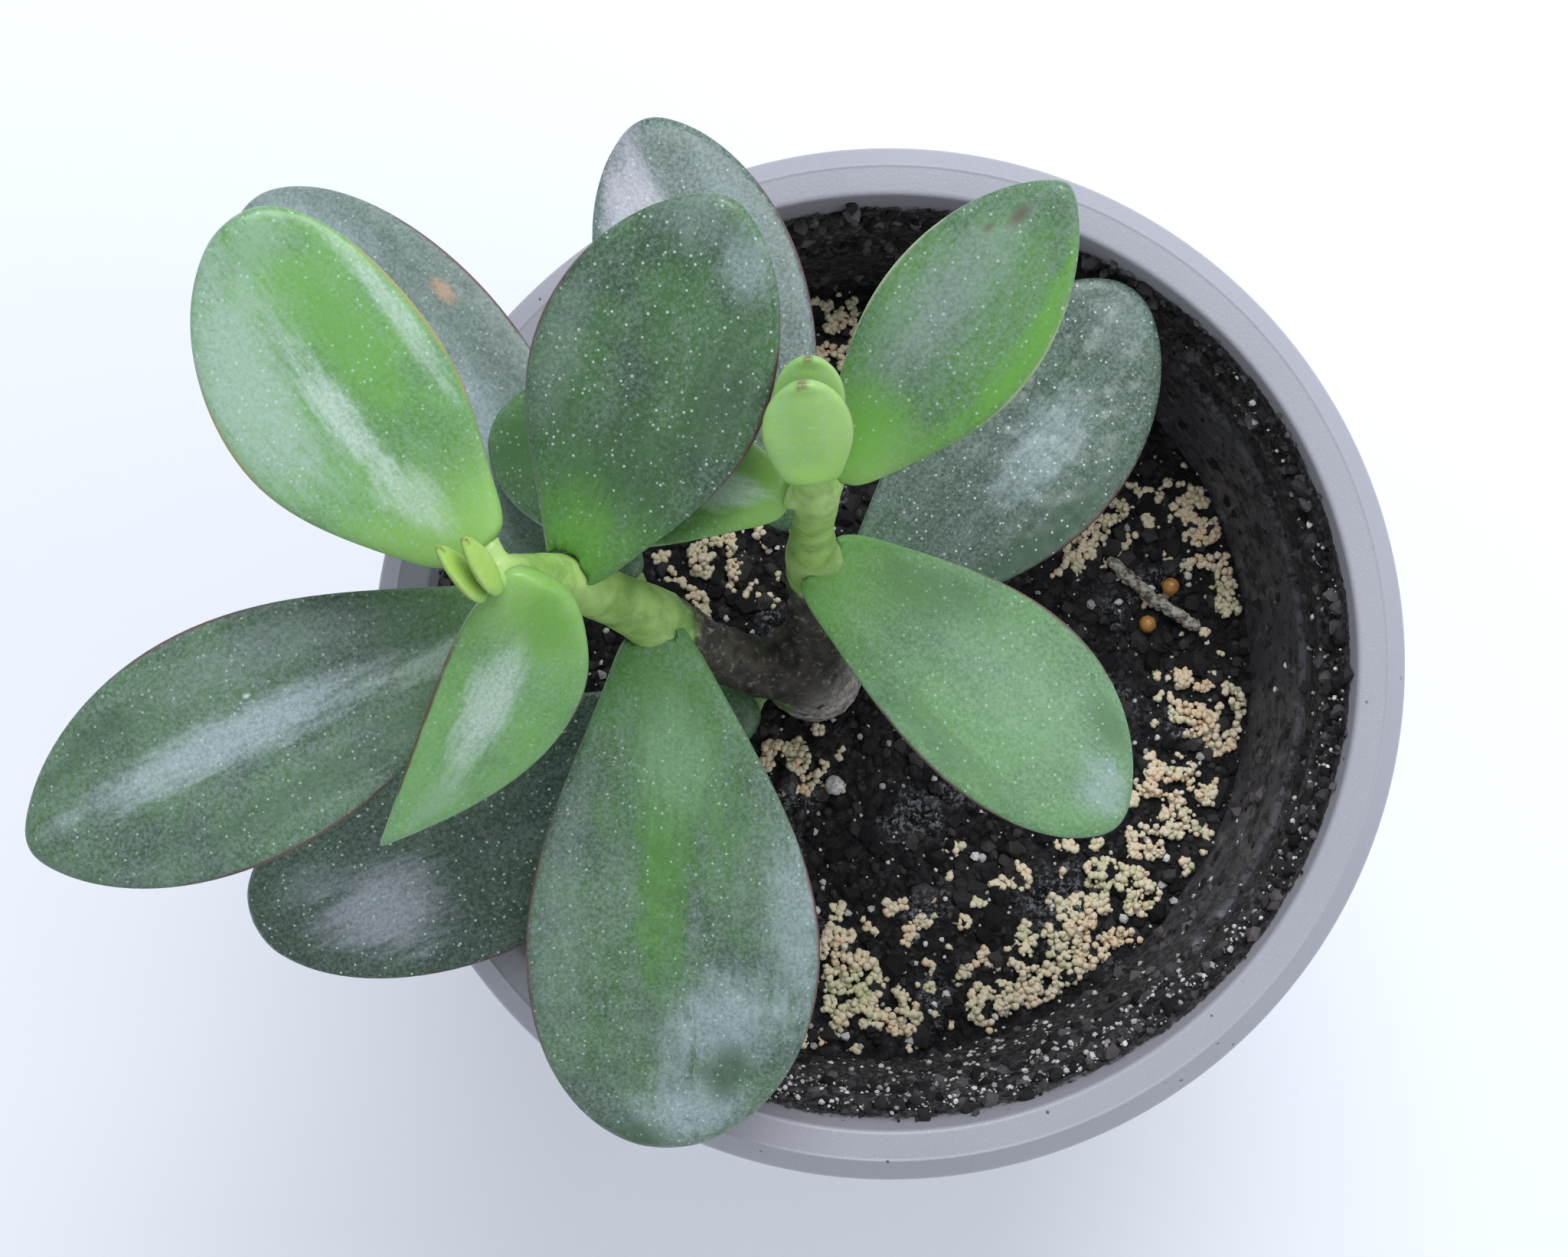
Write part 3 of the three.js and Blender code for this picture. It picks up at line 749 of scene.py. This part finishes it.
def pot_material():
    """Satin grey plastic with tiny pale flecks painted as its sparkling glints, and dirt specks; soil dust
    and grey smears down the inside.
    """
    g = Graph("pot_plastic")
    split = g.add("ShaderNodeSeparateXYZ")
    g.plug(split.inputs[0], g.object_place)
    x, y, z = split.outputs
    radius = g.hypotenuse(x, y)
    colour = g.mix(g.noise(20 * MM, detail=4), *PLASTIC)
    # Painted glints: tiny pale flecks laid into the colour stand for the sparkle of the plastic's flakes
    glitter_glints = g.span(g.cells(0.5 * MM)[0], 0.1, 0.2, 1.0, 0.0)
    colour = g.mix(g.math("MULTIPLY", glitter_glints, 0.25), colour, GLITTER_GLINT)
    speck = g.span(g.cells(3.2 * MM)[0], 0.04, 0.09, 1.0, 0.0)
    dirt = g.math("MULTIPLY", speck, g.span(g.noise(24 * MM), 0.46, 0.6))
    colour = g.mix(dirt, colour, DIRT)
    widening = g.math("MULTIPLY", g.math("SUBTRACT", z, RIM_TOP), INNER_SLOPE)
    within_wall = g.math("ADD", widening, INNER_TOP + WALL / 3)
    inside = g.span(g.math("SUBTRACT", within_wall, radius), -0.1 * MM, 0.1 * MM)
    crumbly = g.noise(2.2 * MM, detail=6, rough=0.75)
    depth = g.math("SUBTRACT", RIM_TOP, z)
    rightward = g.span(g.math("DIVIDE", x, radius), 0.35, 0.85)
    banked = g.span(depth, 1 * MM, 8 * MM, 0.05, 0.75)
    fading = g.span(depth, 16 * MM, 11 * MM, 0.5, 1.0)
    band = g.math("MULTIPLY", g.span(depth, 1 * MM, 4 * MM, 0.05, 0.7), fading)
    soiled = g.mix(rightward, banked, band)
    patchy = g.math("ADD", soiled, g.math("SUBTRACT", crumbly, 0.5))
    dust = g.math("MULTIPLY", g.span(patchy, 0.3, 0.48), inside)
    grime = g.math("MULTIPLY", inside, g.span(depth, 2 * MM, 9 * MM, 0.0, 0.85))
    colour = g.mix(grime, colour, g.mix(g.noise(3 * MM, detail=5), *GRIME))
    smear = g.span(g.noise(2.5 * MM, detail=5, rough=0.7, stretch=(1, 1, 0.3)), 0.54, 0.66, 0.0, 0.55)
    colour = g.mix(g.math("MULTIPLY", grime, smear), colour, SMEAR)
    colour = g.mix(dust, colour, g.mix(g.span(g.noise(0.8 * MM, detail=3), 0.4, 0.65), *CLINGING_SOIL))
    tiny = g.noise(0.3 * MM, detail=2)
    normal = g.bump(g.math("ADD", tiny, g.math("MULTIPLY", dust, 4.0)), 0.05 * MM, strength=0.7)
    return g.finish(colour, g.span(dust, 0, 1, 0.36, 0.95), normal, Specular_IOR_Level=0.5)


# ---------------------------------------------------------------- soil and what lies on it

# Soil colours, linear; a pair is two tones that a pattern mixes, and a triple is shared out by tint
SOIL = ((0.008, 0.008, 0.009), (0.046, 0.043, 0.045))
CRUMBS = ((0.006, 0.006, 0.007), (0.016, 0.015, 0.016), (0.060, 0.055, 0.054))
WALL_CRUMBS = ((0.009, 0.008, 0.009), (0.030, 0.027, 0.029), (0.135, 0.120, 0.125))
PERLITE_DUST = ((0.360, 0.350, 0.340), (0.620, 0.610, 0.600), (0.900, 0.890, 0.870))
CRUST = ((0.560, 0.620, 0.330), (0.900, 0.790, 0.600), (0.920, 0.620, 0.360))  # greenish, cream, orange
MOULD = (0.360, 0.380, 0.420)
SPECK = (0.450, 0.420, 0.380)
PRILL = ((0.300, 0.110, 0.020), (0.620, 0.300, 0.070))
PERLITE = ((0.450, 0.440, 0.430), (0.860, 0.850, 0.830))
TWIG = ((0.090, 0.070, 0.050), (0.520, 0.490, 0.430))

CRUMB_COUNT = 5200
SOIL_DUST_COUNT = 1300
WALL_DUST_TRIES = 10500
WALL_CRUMB_TRIES = 13000
CRUST_DENSITY = 5.5  # tries for each square millimetre
OVERHEAD = RIM_TOP + 100 * MM  # rays that look for the soil start at this height
SOIL_TREE = face_tree(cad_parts["soil"].data)


def soil_height(x, y):
    """Height of the CAD soil's surface at a place, or of the nearest place further in that has one."""
    for inward in (1.0, 0.985, 0.97, 0.955, 0.94):
        hit = SOIL_TREE.ray_cast(Vector((x * inward, y * inward, OVERHEAD)), DOWN)
        if hit[0]:
            return hit[0].z
    return SOIL_MIDDLE


def soil_edge(turn):
    """The radius at which the soil meets the pot's wall, in one direction."""
    x, y = math.cos(turn), math.sin(turn)
    return wall_radius(soil_height(x * SOIL_TOP_RADIUS, y * SOIL_TOP_RADIUS)) - 0.1 * MM


SOIL_TOP_RADIUS = SOIL_BOX[1].y
SOIL_MIDDLE = SOIL_TREE.ray_cast(Vector((20 * MM, 0, OVERHEAD)), DOWN)[0].z


def crumble(x, y):
    """The fine unevenness of the soil at a place."""
    at = Vector((x, y, 0))
    return (noise.fractal(at * 260, 0.9, 2.1, 4) * 0.55 + noise.noise(at * 90) * 0.5) * MM


def surface(x, y):
    """Height of the crumbled soil at a place."""
    return soil_height(x, y) + crumble(x, y)


def build_soil():
    """The soil plug: a finely crumbled top, then the CAD plug's side and underside."""
    sides, rings = 300, 84
    edges = [soil_edge(math.tau * i / sides) for i in range(sides)]
    vertices = [(0, 0, surface(0, 0))]
    for ring in range(1, rings + 1):
        for i in range(sides):
            turn = math.tau * i / sides
            radius = edges[i] * ring / rings
            x, y = radius * math.cos(turn), radius * math.sin(turn)
            vertices.append((x, y, surface(x, y)))
    foot_z = SOIL_BOX[0].z
    foot = wall_radius(foot_z) - 0.3 * MM
    for i in range(sides):
        turn = math.tau * i / sides
        vertices.append((foot * math.cos(turn), foot * math.sin(turn), foot_z))
    vertices.append((0, 0, foot_z))
    faces = [(0, 1 + i, 1 + (i + 1) % sides) for i in range(sides)]
    for ring in range(rings):
        a, b = 1 + ring * sides, 1 + (ring + 1) * sides
        faces += [(a + i, b + i, b + (i + 1) % sides, a + (i + 1) % sides) for i in range(sides)]
    last, centre = 1 + rings * sides, len(vertices) - 1
    faces += [(last + (i + 1) % sides, last + i, centre) for i in range(sides)]
    mesh = mesh_of("soil_body", vertices, faces)
    place_piece("soil_body", mesh, soil_material(), ["soil"])


def mould(g):
    """Faint bluish-white patches, as a share of cover."""
    patch = g.span(g.noise(11 * MM, detail=2), 0.54, 0.66)
    thread = g.span(g.noise(0.7 * MM, detail=4, rough=0.7), 0.48, 0.62, 0.0, 0.6)
    return g.math("MULTIPLY", patch, thread)


def soil_material():
    """Dark, crumbly soil with faint mould and a few pale specks."""
    g = Graph("soil_body")
    crumbs = g.noise(1.3 * MM, detail=6, rough=0.75)
    colour = g.mix(g.span(crumbs, 0.38, 0.7), *SOIL)
    colour = g.mix(mould(g), colour, MOULD)
    distance, cell = g.cells(1.9 * MM)
    speck = g.math("MULTIPLY", g.span(distance, 0.07, 0.13, 1.0, 0.0), g.span(cell, 0.55, 0.6))
    colour = g.mix(g.math("MULTIPLY", speck, 0.7), colour, SPECK)
    return g.finish(colour, 0.9, g.bump(crumbs, 0.7 * MM, strength=0.9), Specular_IOR_Level=0.25)


def tinted_material(name, shades, roughness, bump_size, mouldy=False):
    """Colours each grain by its own tint, which runs through the three shades."""
    low, mid, high = shades
    g = Graph(name)
    ramp = g.add("ShaderNodeValToRGB")
    g.plug(ramp.inputs[0], g.attribute("tint"))
    ramp.color_ramp.elements[0].color = (*low, 1)
    ramp.color_ramp.elements[1].color = (*high, 1)
    ramp.color_ramp.elements.new(0.5).color = (*mid, 1)
    rough = g.noise(bump_size, detail=4, rough=0.7)
    colour = g.mix(g.span(rough, 0.3, 0.5, 0.4, 0.0), ramp.outputs[0], tuple(0.4 * c for c in mid))
    if mouldy:
        colour = g.mix(mould(g), colour, MOULD)
    normal = g.bump(rough, bump_size * 0.4, strength=0.8)
    return g.finish(colour, roughness, normal, Specular_IOR_Level=0.3)


def on_disc(limit):
    """A random place within a circle around the pot's axis."""
    radius, turn = limit * math.sqrt(chance.random()), chance.uniform(0, math.tau)
    return radius * math.cos(turn), radius * math.sin(turn)


def on_wall(turn, depth, inset):
    """A place in front of the pot's inner wall, in a direction and at a depth in mm below the rim."""
    z = RIM_TOP - depth * MM
    reach = wall_radius(z) - inset
    return reach * math.cos(turn), reach * math.sin(turn), z


def build_crumbs():
    """Loose soil crumbs all over the soil, most of them small."""
    seeds = []
    for _ in range(CRUMB_COUNT):
        x, y = on_disc(SOIL_TOP_RADIUS - 1.2 * MM)
        radius = min(1.7, 0.2 + chance.expovariate(3.4)) * MM
        place = (x, y, surface(x, y) + 0.2 * radius)
        seeds.append((place, radius, chance.uniform(0.6, 1.0), chance.random()))
    mesh = grains("soil_crumbs", seeds, 1, 0.38, smooth=False)
    finish = tinted_material("crumbs", CRUMBS, 0.9, 0.4 * MM, mouldy=True)
    place_piece("soil_crumbs", mesh, finish)


def build_crust(node, finish):
    """Small cream granules, fused in ragged heaps where the CAD clump lies, with a few strays around it."""
    tree = face_tree(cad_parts[node].data)
    low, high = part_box(node)
    margin = 2 * MM
    area = (high.x - low.x + 2 * margin) * (high.y - low.y + 2 * margin) / MM ** 2
    tries = int(area * CRUST_DENSITY)
    seeds = []
    for _ in range(tries):
        x = chance.uniform(low.x - margin, high.x + margin)
        y = chance.uniform(low.y - margin, high.y + margin)
        ragged = noise.noise(Vector((x, y, 0)) * 420)
        size, heap, tone = chance.random(), chance.random(), chance.gauss(0.5, 0.14)
        if math.hypot(x, y) > soil_edge(math.atan2(y, x)) - 1 * MM:
            continue
        hit = tree.ray_cast(Vector((x, y, RIM_TOP)), DOWN)[0]
        if ragged < (-0.14 if hit else 0.25):
            continue
        radius = (0.2 + 0.32 * size) * MM
        rise = (hit.z - soil_height(x, y)) * heap * 0.7 if hit else 0.0
        tone += 0.35 * noise.noise(Vector((x, y, 1)) * 160)
        place = (x, y, surface(x, y) + 0.5 * radius + rise)
        seeds.append((place, radius, chance.uniform(0.75, 1.0), min(1, max(0, tone))))
    mesh = grains(node + "_grains", seeds, 2, 0.2, smooth=True)
    place_piece(node + "_grains", mesh, finish, [node])


def build_crusts():
    finish = tinted_material("crust", CRUST, 0.85, 0.3 * MM)
    for node in sorted(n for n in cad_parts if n.startswith("crust_")):
        build_crust(node, finish)


def build_perlite_dust():
    """White grains on the soil, and more of them stuck to the wall, most of all on the side at -y."""
    seeds = []
    for _ in range(SOIL_DUST_COUNT):
        x, y = on_disc(SOIL_TOP_RADIUS - 0.6 * MM)
        radius = min(0.6, 0.1 + chance.expovariate(7.0)) * MM
        place = (x, y, surface(x, y) + 0.6 * radius)
        seeds.append((place, radius, 0.8, chance.random()))
    for _ in range(WALL_DUST_TRIES):
        turn, depth = chance.uniform(0, math.tau), chance.uniform(2, 29)
        size, shade = min(0.42, 0.09 + chance.expovariate(9.0)) * MM, chance.random()
        if chance.random() > soiled_share(turn, depth) ** 2 * (0.5 - 0.5 * math.sin(turn)):
            continue
        seeds.append((on_wall(turn, depth, 0.9 * size + 0.25 * MM), size, 0.9, shade))
    mesh = grains("perlite_dust", seeds, 1, 0.3, smooth=False)
    finish = tinted_material("perlite_dust", PERLITE_DUST, 0.9, 0.3 * MM)
    place_piece("perlite_dust", mesh, finish)


def soiled_share(turn, depth):
    """
    How thickly soil sticks to the pot's wall in a direction, at a depth in mm below the rim. The side at +x
    is nearly clean but for a band near the rim and one near the soil; elsewhere soil is banked all the way.
    """
    clean = smoothstep(0.35, 0.85, math.cos(turn - 0.1))
    banked = smoothstep(2.0, 9.0, depth)
    band = smoothstep(2.0, 5.0, depth) * smoothstep(15.0, 11.0, depth)
    foot = smoothstep(18.0, 24.0, depth)
    return float((1 - clean) * banked + clean * max(0.75 * band, 0.45 * foot, 0.14))


def build_wall_crumbs():
    """Soil crumbs stuck to the pot's inner wall."""
    seeds = []
    for _ in range(WALL_CRUMB_TRIES):
        turn, depth = chance.uniform(0, math.tau), chance.uniform(1.5, 30)
        size, shade = min(1.1, 0.15 + chance.expovariate(4.0)) * MM, chance.random()
        if chance.random() > soiled_share(turn, depth):
            continue
        seeds.append((on_wall(turn, depth, 0.3 * size), size, 0.8, shade))
    mesh = grains("wall_crumbs", seeds, 1, 0.38, smooth=False)
    finish = tinted_material("wall_crumbs", WALL_CRUMBS, 0.9, 0.4 * MM)
    place_piece("wall_crumbs", mesh, finish)


def lumpy_ball(node, material, lumpiness):
    """A slightly uneven ball in place of a round CAD piece."""
    low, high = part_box(node)
    centre, radius = (low + high) / 2, (high.x - low.x) / 2
    template, faces = ico_template(4)
    points = []
    for unit in template:
        swell = 1.0 + lumpiness * noise.fractal(Vector(unit) * 2.3 + centre * 1000, 0.8, 2.0, 4)
        points.append(centre + Vector(unit) * radius * min(swell, 1.12))
    mesh = mesh_of(node + "_skin", points, faces)
    place_piece(node + "_skin", mesh, material, [node])


def build_prills():
    g = Graph("prill_coat")
    coat = g.mix(g.noise(0.9 * MM, detail=4), *PRILL)
    normal = g.bump(g.noise(0.5 * MM), 0.1 * MM)
    finish = g.finish(coat, 0.35, normal, Coat_Weight=0.4, Coat_Roughness=0.2)
    for node in ("fertiliser_prill_1", "fertiliser_prill_2"):
        lumpy_ball(node, finish, 0.05)


def build_perlite_ball():
    g = Graph("perlite_white")
    pits = g.noise(0.5 * MM, detail=5, rough=0.7)
    white = g.mix(g.span(pits, 0.35, 0.6), *PERLITE)
    lumpy_ball("perlite_ball", g.finish(white, 0.9, g.bump(pits, 0.25 * MM)), 0.14)


def build_twig():
    """The CAD twig, melted into one skin and roughened."""
    g = Graph("twig_bark")
    crust = g.noise(1.1 * MM, detail=6, rough=0.75)
    bark = g.mix(g.span(crust, 0.4, 0.6), *TWIG)
    finish = g.finish(bark, 0.9, g.bump(crust, 0.2 * MM))
    mesh = through_modifiers(
        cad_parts["twig"].data.copy(),
        ("REMESH", {"mode": "VOXEL", "voxel_size": 0.16 * MM}),
        ("SMOOTH", {"factor": 0.5, "iterations": 4}),
    )
    points, outward = coordinates(mesh), normals(mesh)
    rough = np.array([noise.fractal(Vector(p) * 1500, 0.8, 2.0, 3) for p in points])
    set_coordinates(mesh, points + outward * (rough * 0.22 * MM)[:, None])
    place_piece("twig_skin", mesh, finish, ["twig"])


# ---------------------------------------------------------------- stage, light and camera

PAPER = ((0.860, 0.885, 0.940), (0.890, 0.915, 0.970))
FLOOR_REACH = 4.0


def build_stage():
    """A pale paper floor."""
    corners = [(FLOOR_REACH * x, FLOOR_REACH * y, 0) for x, y in ((-1, -1), (1, -1), (1, 1), (-1, 1))]
    floor = bpy.data.objects.new("floor", mesh_of("floor", corners, [(0, 1, 2, 3)]))
    bpy.context.scene.collection.objects.link(floor)
    g = Graph("floor_paper")
    tone = g.mix(g.noise(0.4, detail=2), *PAPER)
    floor.data.materials.append(g.finish(tone, 0.8, Specular_IOR_Level=0.2))


def area_light(name, place, target, size, power, colour):
    data = bpy.data.lights.new(name, "AREA")
    data.shape, data.size, data.energy, data.color = "DISK", size, power, colour
    light = bpy.data.objects.new(name, data)
    light.location = place
    light.rotation_euler = (Vector(target) - Vector(place)).to_track_quat("-Z", "Y").to_euler()
    bpy.context.scene.collection.objects.link(light)


def build_light():
    """A soft window high behind the pot, a weaker fill from the right and an even room."""
    middle = (0, 0, RIM_TOP)
    area_light("window", (0.08, 0.48, 0.72), middle, size=0.5, power=4.6, colour=(0.95, 0.97, 1.0))
    area_light("fill", (0.75, -0.15, 0.75), middle, size=0.8, power=1.9, colour=(0.96, 0.97, 1.0))
    world = bpy.data.worlds.new("soft_room")
    world.use_nodes = True
    background = world.node_tree.nodes["Background"]
    background.inputs["Color"].default_value = (0.90, 0.94, 1.0, 1)
    background.inputs["Strength"].default_value = 0.66
    bpy.context.scene.world = world
    bpy.context.scene.view_settings.view_transform = "Standard"


def build_camera():
    """Above the pot, a little to the left and front of its axis, and tipped slightly towards +y."""
    data = bpy.data.cameras.new("camera")
    data.sensor_width = 36
    data.lens = 65.3
    camera = bpy.data.objects.new("camera", data)
    camera.location = (-12.3 * MM, -8.7 * MM, RIM_TOP + 330 * MM)
    camera.rotation_euler = (math.radians(2.14), 0, 0)
    bpy.context.scene.collection.objects.link(camera)
    bpy.context.scene.camera = camera


build_pot()
build_soil()
build_crumbs()
build_crusts()
build_perlite_dust()
build_wall_crumbs()
build_prills()
build_perlite_ball()
build_twig()
build_stem()
build_leaves()
build_stage()
build_light()
build_camera()
